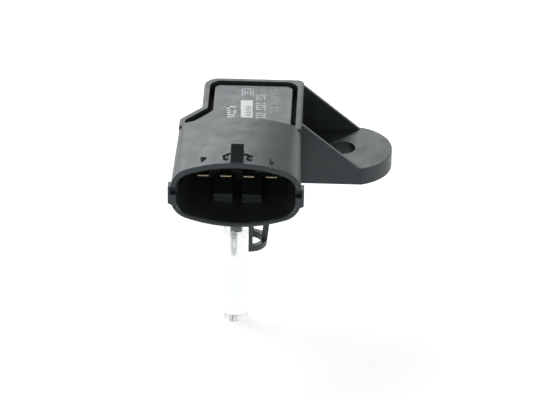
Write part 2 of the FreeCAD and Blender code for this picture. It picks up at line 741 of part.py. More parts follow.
potting_low = s.chamber_floor - s.potting_depth
potting = new_sketch(housing, "potting_recess", "XY_Plane", s.chamber_floor)
rectangle(potting, -s.potting_width / 2, s.potting_width / 2,
          -s.lead_y - s.potting_length / 2, s.potting_length / 2 - s.lead_y)
pocket(housing, potting, s.potting_depth)
holes = new_sketch(housing, "channel_and_lead_holes", "XY_Plane", s.chamber_floor)
circle(holes, ZERO, s.channel_y, s.channel_radius)
for direction in (-1, 1):
    circle(holes, direction * s.lead_x, -s.lead_y, s.lead_radius + s.lead_room)
pocket(housing, holes, s.chamber_floor + s.port_length)
screw = new_sketch(housing, "screw_hole", "XY_Plane", s.flange_thick)
circle(screw, s.screw_x, ZERO, s.screw_radius)
pocket(housing, screw, s.flange_thick)

# Cover and the sealant bead in its seam

cover = new_body("cover")
pad(cover, plan_sketch(cover, "cover_plate", cover_inset, cover_seat), s.cover_thick)
round_plan(cover, cover_inset, cover_seat, cover_top, "round_cover")

sealant = new_body("cover_sealant")
pad(sealant, recess_sketch(sealant, "bead", cover_seat), s.sealant_rise)
bead_top = cover_seat + s.sealant_rise
round_recess(sealant, cover_seat, bead_top, "round_bead")
bead_hole = plan_sketch(sealant, "bead_hole", cover_inset, cover_seat)
pocket(sealant, bead_hole, s.sealant_rise, reverse=True)
round_plan(sealant, cover_inset, cover_seat, bead_top, "round_bead_hole")

# Terminals: stamped blades with an upturned leg through the circuit board

leg_front = s.tail_end + s.pin_thick
terminals = []
for number, (place, leg_place) in enumerate(zip(pin_places, leg_places), start=1):
    terminal = new_body(f"terminal_{number}")
    blade = new_sketch(terminal, f"blade_{number}", "XY_Plane", pin_low)
    blade_outline(blade, place, leg_place)
    pad(terminal, blade, s.pin_thick)
    leg = new_sketch(terminal, f"leg_{number}", "XY_Plane", pin_low)
    rectangle(leg, leg_place - s.tail_width / 2, leg_place + s.tail_width / 2, -leg_front, -s.tail_end)
    pad(terminal, leg, board_top + s.leg_rise - pin_low)
    tip = edges_where(terminal.Tip, lambda point: near(point.y, -s.pin_tip.number))
    soften(terminal, "Chamfer", tip, s.pin_chamfer, f"tip_{number}")
    bend = edges_where(terminal.Tip, lambda point: near(point.y, -s.tail_end.number)
                       and near(point.z, pin_low.number))
    soften(terminal, "Fillet", bend, s.bend_radius, f"bend_{number}")
    terminals.append(terminal)

# Thermistor: two leads that run from the circuit board down through the port to a glass bead

bead = primitive("Sphere", "thermistor_bead", ZERO, -s.lead_y, -s.bead_depth, Radius=s.bead_radius)
lead_top = board_top + s.leg_rise
lead_bend = -s.port_length - s.port_chamfer
leads = []
for side, direction in (("right", 1), ("left", -1)):
    lead = new_body(f"lead_{side}_wire")
    section = new_sketch(lead, f"lead_{side}_section", "XY_Plane", lead_top)
    circle(section, direction * s.lead_x, -s.lead_y, s.lead_radius)
    route = new_sketch(lead, f"lead_{side}_route", "XZ_Plane", s.lead_y)
    stops = [
        (direction * s.lead_x, lead_top),
        (direction * s.lead_x, lead_bend),
        (direction * s.bead_radius / 2, -s.bead_depth),
    ]
    vectors = [FreeCAD.Vector(x.number, z.number, 0) for x, z in stops]
    for start in range(2):
        route.addGeometry(Part.LineSegment(vectors[start], vectors[start + 1]), False)
    route.addConstraint(Sketcher.Constraint("Coincident", 0, 2, 1, 1))
    hold_point(route, 0, 1, *stops[0])
    hold_point(route, 0, 2, *stops[1])
    hold_point(route, 1, 2, *stops[2])
    wire = lead.newObject("PartDesign::AdditivePipe", f"lead_{side}_pipe")
    wire.Profile = section
    wire.Spine = (route, ["Edge1", "Edge2"])
    wire.Transition = "Right corner"
    doc.recompute()
    trimmed = cut(f"thermistor_lead_{side}", lead, bead)
    leads.append(trimmed)

# Circuit board with its chip, capacitors and solder joints

board = new_body("circuit_board")
pad(board, plan_sketch(board, "board_plate", board_inset, board_seat), s.board_thick)
board_holes = new_sketch(board, "board_holes", "XY_Plane", board_top)
for place in leg_places:
    half = s.tail_width / 2 + s.lead_room
    rectangle(board_holes, place - half, place + half, -leg_front - s.lead_room, s.lead_room - s.tail_end)
for direction in (-1, 1):
    circle(board_holes, direction * s.lead_x, -s.lead_y, s.lead_radius + s.lead_room)
pocket(board, board_holes, s.board_thick)

signal_chip = block("signal_chip", ZERO, s.channel_y + s.wire_spacing, board_top,
                    s.chip_length, s.chip_width, s.chip_height)
capacitor_parts = []
for number in range(3):
    place = s.collar_x + s.pin_pitch + (number - 1) * s.cap_pitch
    capacitor_parts.append(block(f"capacitor_{number + 1}", place, -s.cap_y, board_top,
                                 s.cap_width, s.cap_length, s.cap_width))
capacitors = fuse("capacitors", capacitor_parts)

joint_places = [(place, -s.tail_end - s.pin_thick / 2, s.solder_radius) for place in leg_places]
joint_places += [(direction * s.lead_x, -s.lead_y, s.solder_small) for direction in (-1, 1)]
cones = []
for number, (across, along, wide) in enumerate(joint_places, start=1):
    cones.append(primitive("Cone", f"solder_cone_{number}", across, along, board_top,
                           Radius1=wide, Radius2=wide - s.solder_slope, Height=s.solder_rise))
solder_joints = cut("solder_joints", fuse("solder_cones", cones), fuse("soldered_ends", terminals + leads))

# Sensor cell: glued over the channel, with the die on its glass pedestal under a soft gel

cell_height = board_seat - cell_low
well_low = cell_low + s.cell_base
cell_block = block("cell_block", ZERO, s.channel_y, cell_low, s.cell_size, s.cell_size, cell_height)
cell_well = block("cell_well_space", ZERO, s.channel_y, well_low, s.cell_well, s.cell_well,
                  cell_height - s.cell_base)
shelf_x = (s.cell_well - s.cell_shelf) / 2
shelves = []
for side, direction in (("right", 1), ("left", -1)):
    shelves.append(block(f"bonding_shelf_{side}", direction * shelf_x, s.channel_y, well_low,
                         s.cell_shelf, s.cell_well, die_top - well_low))
cell_bore = primitive("Cylinder", "cell_bore", ZERO, s.channel_y, cell_low,
                      Radius=s.cell_bore, Height=s.cell_base)
well_room = cut("well_room", cell_well, fuse("bonding_shelves", shelves))
sensor_cell = cut("sensor_cell", cut("cell_with_well", cell_block, well_room), cell_bore)
glue_disc = primitive("Cylinder", "glue_disc", ZERO, s.channel_y, s.chamber_floor,
                      Radius=s.glue_radius, Height=s.glue_thick)
glue_hole = primitive("Cylinder", "glue_hole", ZERO, s.channel_y, s.chamber_floor,
                      Radius=s.channel_radius, Height=s.glue_thick)
cell_adhesive = cut("cell_adhesive", glue_disc, glue_hole)
pedestal_block = block("pedestal_block", ZERO, s.channel_y, well_low, s.die_size, s.die_size, s.pedestal_thick)
pedestal_bore = primitive("Cylinder", "pedestal_bore_space", ZERO, s.channel_y, well_low,
                          Radius=s.pedestal_bore, Height=s.pedestal_thick)
glass_pedestal = cut("glass_pedestal", pedestal_block, pedestal_bore)
pressure_die = block("pressure_die", ZERO, s.channel_y, well_low + s.pedestal_thick,
                     s.die_size, s.die_size, s.die_thick)
loop_inner = s.die_size / 2 - s.cell_shelf / 2
loop_outer = shelf_x
loop_radius = (loop_outer - loop_inner) / 2
loop_centre = (loop_outer + loop_inner) / 2
loops = []
for side, direction in (("right", 1), ("left", -1)):
    for row in (-1, 1):
        loop = primitive("Torus", f"wire_{side}_{row + 2}", direction * loop_centre,
                         s.channel_y + row * s.wire_spacing / 2, die_top,
                         Radius1=loop_radius, Radius2=s.wire_radius)
        loop.Angle3 = 180
        loop.Placement.Rotation = FreeCAD.Rotation(FreeCAD.Vector(1, 0, 0), 90)
        loops.append(loop)
bond_wires = fuse("bond_wires", loops)
gel_block = block("gel_block", ZERO, s.channel_y, well_low, s.cell_well, s.cell_well,
                  cell_height - s.cell_base - s.gel_drop)
in_the_gel = fuse("pieces_in_the_gel", [pedestal_block, pressure_die, bond_wires, sensor_cell])
protective_gel = cut("protective_gel", gel_block, in_the_gel)

potting_block = block("potting_block", ZERO, -s.lead_y, potting_low,
                      s.potting_width, s.potting_length, s.potting_depth)
lead_potting = cut("lead_potting", potting_block, fuse("both_leads", leads))

# O-ring on the port

o_ring = primitive("Torus", "o_ring", ZERO, ZERO, -s.seal_place,
                   Radius1=groove_radius + s.seal_section / 2, Radius2=s.seal_section / 2)

# Clear rod and the peg that joins it to the underside of the collar

collar_taper = (s.mouth_height - s.root_height) / 2 / (s.collar_mouth - s.body_front)
rod_top = s.collar_z - collar_half(s.rod_y) - root(collar_taper * collar_taper) * s.rod_radius
rod_turned = new_body("rod_turned")
rod_profile = new_sketch(rod_turned, "rod_profile", "XZ_Plane", ZERO)
polygon(rod_profile, [
    (0, -s.peg_end - s.peg_room),
    (s.peg_radius + s.peg_room, -s.peg_end - s.peg_room),
    (s.peg_radius + s.peg_room, rod_top),
    (s.rod_radius, rod_top),
    (s.rod_radius, s.rod_edge - s.rod_end),
    (s.rod_radius - s.rod_edge, -s.rod_end),
    (0, -s.rod_end),
])
revolve(rod_turned, rod_profile)
rod_turned.Label = "clear_rod"
bind(rod_turned, "Placement.Base.x", -s.rod_x)
bind(rod_turned, "Placement.Base.y", -s.rod_y)
rod_pin = primitive("Cylinder", "rod_pin", -s.rod_x, -s.rod_y, -s.peg_end,
                    Radius=s.peg_radius, Height=rod_top + s.peg_end)

# Check every object and write one file for each piece

PIECES = [
    housing, cover, sealant, *terminals, board, signal_chip, capacitors, solder_joints,
    sensor_cell, cell_adhesive, glass_pedestal, pressure_die, bond_wires, protective_gel,
    bead, *leads, lead_potting, o_ring, rod_turned, rod_pin,
]
doc.recompute()
for thing in doc.Objects:
    if "Invalid" in thing.State or "Error" in thing.State:
        raise RuntimeError(f"{thing.Label} failed: {thing.State}")
for piece in PIECES:
    shape = piece.Shape
    if shape.isNull() or not shape.isValid() or not shape.Solids:
        raise RuntimeError(f"{piece.Label} has no valid shape")
os.makedirs("parts", exist_ok=True)
for piece in PIECES:
    piece.Shape.exportStep(f"parts/{piece.Label}.step")
    print(piece.Label, len(piece.Shape.Solids), round(piece.Shape.Volume, 2))
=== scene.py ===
import json
import math

import bpy
import numpy as np
from mathutils import Matrix, Vector


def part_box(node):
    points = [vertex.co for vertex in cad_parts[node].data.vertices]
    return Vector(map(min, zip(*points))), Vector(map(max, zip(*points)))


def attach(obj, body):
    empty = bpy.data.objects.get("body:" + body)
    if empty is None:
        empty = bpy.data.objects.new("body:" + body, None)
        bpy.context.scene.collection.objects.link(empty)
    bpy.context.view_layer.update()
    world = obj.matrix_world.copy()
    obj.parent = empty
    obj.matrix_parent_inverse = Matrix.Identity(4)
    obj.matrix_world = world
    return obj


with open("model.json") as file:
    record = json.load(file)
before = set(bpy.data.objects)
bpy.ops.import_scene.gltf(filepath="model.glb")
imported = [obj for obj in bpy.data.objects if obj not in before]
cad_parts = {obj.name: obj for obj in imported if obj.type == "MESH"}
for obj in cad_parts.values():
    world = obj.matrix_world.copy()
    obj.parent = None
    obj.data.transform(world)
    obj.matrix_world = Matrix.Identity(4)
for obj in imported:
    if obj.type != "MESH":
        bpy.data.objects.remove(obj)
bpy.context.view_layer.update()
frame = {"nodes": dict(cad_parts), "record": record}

bl_info = {
    "name": "Manifold pressure sensor",
    "version": (1, 0, 0),
    "blender": (4, 5, 0),
    "location": "3D Viewport > Sidebar > Sensor",
    "description": "Finishes, moulded numerals, marks and stage for the pressure sensor",
    "category": "Object",
}

MM = 0.001
NODES = frame["nodes"]

# The photo: its size and the place of the port's axis in it, in pixels, and its pixels to the millimetre
PICTURE = (560.0, 400.0)
PORT_IN_PICTURE = (250.1, 161.0)
PIXELS_PER_MM = 4.44

# Places on the moulding, in millimetres: the collar's arched top and the top of the cover
COLLAR_X = -1.9
COLLAR_Z = 10.0
ROOT = {"distance": 12.0, "half_height": 7.8, "arch": 42.0}
MOUTH = {"distance": 33.0, "half_height": 7.95, "arch": 32.0}
COVER_TOP = 14.7

# The middle share of a noise texture's range, over which colour and roughness drift
DRIFT_LOW, DRIFT_HIGH = 0.3, 0.7

# Shares of light that the clear rod lets through, by height: 0 is its foot, 1 is the flange's underside
ROD_FOOT = -27.0
ROD_SHARES = ((0.0, 0.86), (0.10, 0.80), (0.16, 0.66), (0.80, 0.62), (0.85, 1.0))

# The cool tint of the plastic's sheen, and plain white
COOL = (0.82, 0.96, 1.0, 1.0)
WHITE = (1.0, 1.0, 1.0, 1.0)


# Settings

class SENSOR_PG_moulding(bpy.types.PropertyGroup):
    """The look of the moulded plastic."""
    edge: bpy.props.FloatProperty(
        name="Edge radius", description="Radius that the moulded edges are shaded with", default=0.18 * MM,
        min=0.0, max=1.0 * MM, unit="LENGTH", precision=5)
    roughness: bpy.props.FloatProperty(
        name="Roughness", description="Mean roughness of the plastic", default=0.40,
        min=0.0, max=1.0, subtype="FACTOR")
    grain: bpy.props.FloatProperty(
        name="Grain", description="Strength of the fine skin on the plastic", default=0.12,
        min=0.0, max=1.0, subtype="FACTOR")


class SENSOR_PG_marks(bpy.types.PropertyGroup):
    """The moulded numerals and the marks on the cover."""
    height: bpy.props.FloatProperty(
        name="Numeral height", description="Height of the moulded pin numerals", default=2.0 * MM,
        min=0.1 * MM, max=5.0 * MM, unit="LENGTH", precision=5)
    width: bpy.props.FloatProperty(
        name="Numeral width", description="Width of the moulded pin numerals", default=1.3 * MM,
        min=0.1 * MM, max=5.0 * MM, unit="LENGTH", precision=5)
    stroke: bpy.props.FloatProperty(
        name="Stroke", description="Width of the numerals' strokes", default=0.25 * MM,
        min=0.05 * MM, max=1.0 * MM, unit="LENGTH", precision=6)
    relief: bpy.props.FloatProperty(
        name="Relief", description="How far the numerals stand out of the collar", default=0.14 * MM,
        min=0.01 * MM, max=1.0 * MM, unit="LENGTH", precision=6)
    film: bpy.props.FloatProperty(
        name="Mark height", description="How far the pale marks stand out of the cover", default=0.02 * MM,
        min=0.005 * MM, max=0.2 * MM, unit="LENGTH", precision=6)


class SENSOR_PG_stage(bpy.types.PropertyGroup):
    """The studio round the sensor."""
    rear_light: bpy.props.FloatProperty(
        name="Rear light", description="Radiance of the large soft light behind the sensor", default=3.15,
        min=0.0, max=50.0)
    rear_shift: bpy.props.FloatProperty(
        name="Rear light shift", description="How far the rear light stands to the left", default=0.30,
        min=-1.0, max=1.0, unit="LENGTH")
    side_light: bpy.props.FloatProperty(
        name="Side lights", description="Radiance of the two low lights beside the sensor", default=3.6,
        min=0.0, max=50.0)
    horizon: bpy.props.FloatProperty(
        name="Horizon", description="Strength of the white walls round the table", default=1.6,
        min=0.0, max=10.0)
    overhead: bpy.props.FloatProperty(
        name="Overhead", description="Strength of the dim ceiling", default=0.12, min=0.0, max=10.0)
    fill: bpy.props.FloatProperty(
        name="Fill", description="Radiance of the small light in front", default=0.55, min=0.0, max=10.0)
    floor_glow: bpy.props.FloatProperty(
        name="Floor glow", description="Light that the white floor gives by itself", default=0.38,
        min=0.0, max=2.0)
    distance: bpy.props.FloatProperty(
        name="Camera distance", description="Camera to the middle of the sensor's port", default=0.9,
        min=0.1, max=5.0, unit="LENGTH")


# Materials

def finish_material(name, colour, roughness, metallic=0.0, second=None, grain=0.06, grain_size=0.12 * MM,
                    patch_size=2.0 * MM, spread=0.06, edge=0.0, **extra):
    """A Principled surface whose colour and roughness drift in soft patches, with a fine grain in its relief.
    Both come from noise on the object's own coordinates: size 1 / scale. With an edge radius the shading
    also rounds the sharp edges."""
    material = bpy.data.materials.new(name)
    material.use_nodes = True
    tree = material.node_tree
    shader = tree.nodes["Principled BSDF"]
    place = tree.nodes.new("ShaderNodeTexCoord")
    patches = tree.nodes.new("ShaderNodeTexNoise")
    patches.inputs["Scale"].default_value = 1.0 / patch_size
    patches.inputs["Detail"].default_value = 4.0
    tree.links.new(place.outputs["Object"], patches.inputs["Vector"])
    ramp = tree.nodes.new("ShaderNodeValToRGB")
    ramp.color_ramp.elements[0].position = DRIFT_LOW
    ramp.color_ramp.elements[0].color = (*colour, 1.0)
    ramp.color_ramp.elements[1].position = DRIFT_HIGH
    ramp.color_ramp.elements[1].color = (*(second or [c * 1.18 for c in colour]), 1.0)
    tree.links.new(patches.outputs["Fac"], ramp.inputs["Fac"])
    tree.links.new(ramp.outputs["Color"], shader.inputs["Base Color"])
    drift = tree.nodes.new("ShaderNodeMapRange")
    drift.inputs["From Min"].default_value = DRIFT_LOW
    drift.inputs["From Max"].default_value = DRIFT_HIGH
    drift.inputs["To Min"].default_value = roughness - spread
    drift.inputs["To Max"].default_value = roughness + spread
    tree.links.new(patches.outputs["Fac"], drift.inputs["Value"])
    tree.links.new(drift.outputs["Result"], shader.inputs["Roughness"])
    shader.inputs["Metallic"].default_value = metallic
    fine = tree.nodes.new("ShaderNodeTexNoise")
    fine.inputs["Scale"].default_value = 1.0 / grain_size
    fine.inputs["Detail"].default_value = 3.0
    tree.links.new(place.outputs["Object"], fine.inputs["Vector"])
    bump = tree.nodes.new("ShaderNodeBump")
    bump.inputs["Strength"].default_value = grain
    bump.inputs["Distance"].default_value = grain_size * 0.5
    tree.links.new(fine.outputs["Fac"], bump.inputs["Height"])
    tree.links.new(bump.outputs["Normal"], shader.inputs["Normal"])
    if edge > 0.0:
        rounded = tree.nodes.new("ShaderNodeBevel")
        rounded.samples = 8
        rounded.inputs["Radius"].default_value = edge
        tree.links.new(rounded.outputs["Normal"], bump.inputs["Normal"])
    for socket, value in extra.items():
        shader.inputs[socket.replace("_", " ")].default_value = value
    return material


def let_through(material, low, high, stops):
    """Set the share of light that a clear material lets through along the object's own height, by stops
    from 0 at low to 1 at high."""
    tree = material.node_tree
    place = tree.nodes.new("ShaderNodeTexCoord")
    parts = tree.nodes.new("ShaderNodeSeparateXYZ")
    tree.links.new(place.outputs["Object"], parts.inputs["Vector"])
    height = tree.nodes.new("ShaderNodeMapRange")
    height.inputs["From Min"].default_value = low
    height.inputs["From Max"].default_value = high
    tree.links.new(parts.outputs["Z"], height.inputs["Value"])
    ramp = tree.nodes.new("ShaderNodeValToRGB")
    while len(ramp.color_ramp.elements) < len(stops):
        ramp.color_ramp.elements.new(0.5)
    for element, (position, share) in zip(ramp.color_ramp.elements, stops):
        element.position = position
        element.color = (share, share, share, 1.0)
    tree.links.new(height.outputs["Result"], ramp.inputs["Fac"])
    tree.links.new(ramp.outputs["Color"], tree.nodes["Principled BSDF"].inputs["Transmission Weight"])
    return material


def make_materials(settings):
    """Every finish by its slot name in the record."""
    rough, grain, edge = settings.roughness, settings.grain, settings.edge
    return {
        "housing_moulding": finish_material(
            "Moulded housing plastic", (0.013, 0.015, 0.016), rough, second=(0.018, 0.0205, 0.0215),
            grain=grain, patch_size=3.0 * MM, edge=edge, Specular_Tint=COOL, Specular_IOR_Level=0.44),
        "cover_moulding": finish_material(
            "Moulded cover plastic", (0.021, 0.026, 0.027), rough, second=(0.026, 0.032, 0.033),
            grain=grain, edge=edge, Specular_Tint=COOL, Specular_IOR_Level=0.55),
        "sealant": finish_material(
            "Black sealant", (0.004, 0.004, 0.0045), 0.7, grain=0.3, grain_size=0.3 * MM,
            Specular_IOR_Level=0.06),
        "contact_metal": finish_material(
            "Plated contact strip", (0.25, 0.21, 0.14), 0.24, 1.0, second=(0.32, 0.28, 0.20), grain=0.05,
            edge=0.08 * MM),
        "board_laminate": finish_material(
            "Green board laminate", (0.02, 0.10, 0.04), 0.35, second=(0.03, 0.13, 0.05), grain=0.08),
        "chip_resin": finish_material("Moulded chip resin", (0.02, 0.02, 0.022), 0.5, grain=0.15),
        "capacitor_ceramic": finish_material("Tan ceramic", (0.42, 0.30, 0.18), 0.45, grain=0.1),
        "solder": finish_material("Solder", (0.68, 0.68, 0.68), 0.25, 1.0, grain=0.08),
        "cell_moulding": finish_material("Dark cell resin", (0.04, 0.04, 0.045), 0.45, grain=0.12),
        "adhesive": finish_material("Grey silicone", (0.30, 0.30, 0.30), 0.5, grain=0.1),
        "pedestal_glass": finish_material(
            "Ground glass", (0.80, 0.86, 0.86), 0.25, grain=0.08, Transmission_Weight=0.8, IOR=1.5),
        "silicon": finish_material(
            "Polished silicon", (0.16, 0.17, 0.22), 0.12, 0.6, grain=0.02, spread=0.03),
        "bond_wire": finish_material("Aluminium wire", (0.86, 0.86, 0.86), 0.25, 1.0, grain=0.03),
        "gel": finish_material(
            "Clear gel", (0.92, 0.94, 0.92), 0.10, grain=0.04, spread=0.04, Transmission_Weight=1.0,
            IOR=1.41),
        "bead_glass": finish_material(
            "Amber glass bead", (0.55, 0.22, 0.08), 0.10, grain=0.03, spread=0.04, Transmission_Weight=0.5,
            IOR=1.5),
        "lead_wire": finish_material("Tinned wire", (0.62, 0.60, 0.56), 0.28, 1.0, grain=0.05),
        "potting": finish_material("Black resin", (0.02, 0.02, 0.02), 0.35, grain=0.08),
        "seal_rubber": finish_material("Moulded rubber", (0.016, 0.016, 0.017), 0.5, grain=0.15),
        "clear_acrylic": let_through(finish_material(
            "Clear cast plastic", (0.95, 0.975, 0.965), 0.06, second=(0.955, 0.975, 0.97), grain=0.01,
            spread=0.02, IOR=1.49), ROD_FOOT * MM, 0.0, ROD_SHARES),
        "peg_plastic": finish_material(
            "Dark peg plastic", (0.02, 0.022, 0.024), 0.42, grain=0.08, edge=edge),
    }


# Helpers for new pieces

def mesh_piece(name, points, faces, material):
    """A new piece from points in millimetres and faces, riding on the one body."""
    mesh = bpy.data.meshes.new(name)
    mesh.from_pydata((np.asarray(points, float) * MM).tolist(), [], np.asarray(faces, dtype=object).tolist())
    mesh.update()
    piece = bpy.data.objects.new(name, mesh)
    bpy.context.scene.collection.objects.link(piece)
    mesh.materials.append(material)
    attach(piece, "root")
    return piece


def collar_top(x, y):
    """Height of the collar's arched top over whole arrays of places, in millimetres. With t from 0 at the
    root to 1 at the mouth, z = Z + h - (R - sqrt(R^2 - (x - X)^2)), h and the drop running straight in t."""
    share = (-y - ROOT["distance"]) / (MOUTH["distance"] - ROOT["distance"])
    aside = x - COLLAR_X
    level = []
    for end in (ROOT, MOUTH):
        level.append(end["half_height"] - end["arch"] + np.sqrt(end["arch"] ** 2 - aside ** 2))
    return COLLAR_Z + level[0] * (1.0 - share) + level[1] * share


def blocks(cells, low, high):
    """Eight corners and six faces for each flat block, given as x0, x1, y0, y1 in the rows of an array."""
    cells = np.asarray(cells, float)
    x = cells[:, [0, 1, 1, 0, 0, 1, 1, 0]]
    y = cells[:, [2, 2, 3, 3, 2, 2, 3, 3]]
    z = np.broadcast_to([low] * 4 + [high] * 4, x.shape)
    sides = np.array([(3, 2, 1, 0), (4, 5, 6, 7), (0, 1, 5, 4), (1, 2, 6, 5), (2, 3, 7, 6), (3, 0, 4, 7)])
    faces = sides[None] + 8 * np.arange(len(cells))[:, None, None]
    return np.stack((x, y, z), axis=-1).reshape(-1, 3), faces.reshape(-1, 4)


def ribbon(path, width, low, high):
    """A rib of square section along an open path of places on the collar's top: at each place four corners,
    offset by half the width along the path's normal, between low and high above the surface."""
    path = np.asarray(path, float)
    along = np.gradient(path, axis=0)
    along /= np.linalg.norm(along, axis=1)[:, None]
    across = np.stack((-along[:, 1], along[:, 0]), axis=1) * width / 2
    left, right = path + across, path - across
    rings = []
    for side, rise in ((left, low), (right, low), (right, high), (left, high)):
        rings.append(np.column_stack((side, collar_top(side[:, 0], side[:, 1]) + rise)))
    points = np.stack(rings, axis=1).reshape(-1, 3)
    faces = []
    for place in range(len(path) - 1):
        here, there = 4 * place, 4 * place + 4
        for corner in range(4):
            other = (corner + 1) % 4
            faces.append((here + corner, here + other, there + other, there + corner))
    last = 4 * (len(path) - 1)
    faces += [(3, 2, 1, 0), (last, last + 1, last + 2, last + 3)]
    return points, faces


def arc(x, y, across, up, start, end):
    """Places along a part of an oval about x, y, from one angle to the other in degrees."""
    angle = np.radians(np.linspace(start, end, 13))
    return [(x + across * math.cos(a), y + up * math.sin(a)) for a in angle]


# The strokes of each numeral in a box from -0.5 to 0.5
STROKES = {
    "1": [[(-0.42, 0.20), (0.12, 0.46)], [(0.12, 0.50), (0.12, -0.50)]],
    "2": [arc(0.0, 0.20, 0.44, 0.28, 175, -25) + [(0.0, -0.20), (-0.46, -0.46)],
          [(-0.50, -0.46), (0.50, -0.46)]],
    "3": [arc(-0.04, 0.24, 0.42, 0.24, 160, -85), arc(-0.04, -0.24, 0.48, 0.24, 85, -160)],
    "4": [[(0.22, 0.50), (-0.46, -0.16)], [(-0.50, -0.20), (0.50, -0.20)], [(0.22, 0.50), (0.22, -0.50)]],
}


def join(parts):
    """One list of points and faces from several."""
    points, faces = [], []
    for some, sides in parts:
        faces += [tuple(corner + len(points) for corner in side) for side in sides]
        points += list(some)
    return np.array(points), faces


# The marks on the cover: each column runs from its far end towards the collar, and leans a little

class Column:
    """A column of marks: the middle of its far and near end, and its width, in millimetres."""

    def __init__(self, far, near, width):
        self.far = np.asarray(far, float)
        self.near = np.asarray(near, float)
        self.width = width

    def place(self, cells, low, high):
        """Blocks given as shares across (-0.5 to 0.5) and along (0 to 1) the column, set on the cover."""
        points, faces = blocks(cells, low, high)
        across, along = points[:, 0].copy(), points[:, 1].copy()
        middle = self.far[None] * (1.0 - along[:, None]) + self.near[None] * along[:, None]
        points[:, 0] = middle[:, 0] + across * self.width
        points[:, 1] = middle[:, 1]
        return points, faces


def letter_cells(groups, total):
    """Strokes like blind lettering: in each place of a group two rails and one bar between them, whose height
    follows the place's number; a group is followed by one empty place."""
    cells = []
    place = 0
    stroke = 0.2
    for group in groups:
        for _ in range(group):
            start, end = (place + 0.10) / total, (place + 0.86) / total
            third = (end - start) * 0.34
            bar = -0.5 + (place * 7 % 5) * stroke
            cells.append((-0.5, 0.5, start, start + third))
            if place % 3:
                cells.append((-0.5, 0.5, end - third, end))
            cells.append((bar, bar + stroke, start, end))
            place += 1
        place += 1
    return cells


def digit_cells(groups, total):
    """Strokes like blind digits lying on their side: in each place of a group one rail across, broken at a
    spot that follows the place's number, and two short ends; a group is followed by one empty place."""
    cells = []
    place = 0
    for group in groups:
        for _ in range(group):
            start, middle, end = (place + 0.14) / total, (place + 0.52) / total, (place + 0.80) / total
            gap = (place * 7 % 5 - 2) * 0.12
            cells += [(-0.5, gap - 0.08, start, middle), (gap + 0.08, 0.5, start, middle),
                      (-0.5, -0.34, middle, end), (0.34, 0.5, middle, end)]
            place += 1
        place += 1
    return cells


def code_cells(rows, columns):
    """A field of small squares, about half of them left out by a fixed rule, so it carries no message."""
    row, column = np.divmod(np.arange(rows * columns), columns)
    kept = (row * 5 + column * 3 + row * column) % 4 < 2
    row, column = row[kept], column[kept]
    left, far = column / columns - 0.5, row / rows
    return np.column_stack((left, left + 1.0 / columns, far, far + 1.0 / rows))


# Operators: one for each piece or group

class SENSOR_OT_finish_nodes(bpy.types.Operator):
    """Give every CAD node its finish"""
    bl_idname = "sensor.finish_nodes"
    bl_label = "Finish the CAD nodes"

    def execute(self, context):
        materials = make_materials(context.scene.sensor_moulding)
        for row in frame["record"]["subparts"]:
            node = NODES[row["node"]]
            node.data.materials.clear()
            node.data.materials.append(materials[row["material_slot"]])
        return {"FINISHED"}


class SENSOR_OT_build_numerals(bpy.types.Operator):
    """Build the moulded pin numerals and the two ribs beside the latch nose"""
    bl_idname = "sensor.build_numerals"
    bl_label = "Build the numerals"

    PLACES = {"4": (-9.16, -30.0), "3": (-4.27, -30.25), "2": (0.92, -30.2), "1": (5.67, -30.15)}
    RIBS = {
        "numeral_rib_left": [(-3.0, -28.95), (-3.35, -28.72), (-3.75, -28.68), (-4.15, -28.95)],
        "numeral_rib_right": [(-0.45, -28.95), (-0.08, -28.72), (0.34, -28.75), (0.80, -29.15)],
    }

    def execute(self, context):
        settings = context.scene.sensor_marks
        # Painted shade: the numerals and the two ribs get a darker, dull face with little sheen, which stands
        # in for the shade on their strokes
        numeral_shade = finish_material("Numerals with painted shade", (0.010, 0.011, 0.012), 0.85, grain=0.25,
                               grain_size=0.08 * MM, Specular_IOR_Level=0.12)
        relief = settings.relief / MM
        size = np.array([settings.width, settings.height]) / MM
        for word, place in self.PLACES.items():
            strokes = [ribbon(place - size * stroke, settings.stroke / MM, -relief, relief)
                       for stroke in STROKES[word]]
            points, faces = join(strokes)
            mesh_piece("numeral_" + word, points, faces, numeral_shade)
        for name, path in self.RIBS.items():
            points, faces = ribbon(path, settings.stroke / MM, -relief, relief)
            mesh_piece(name, points, faces, numeral_shade)
        return {"FINISHED"}


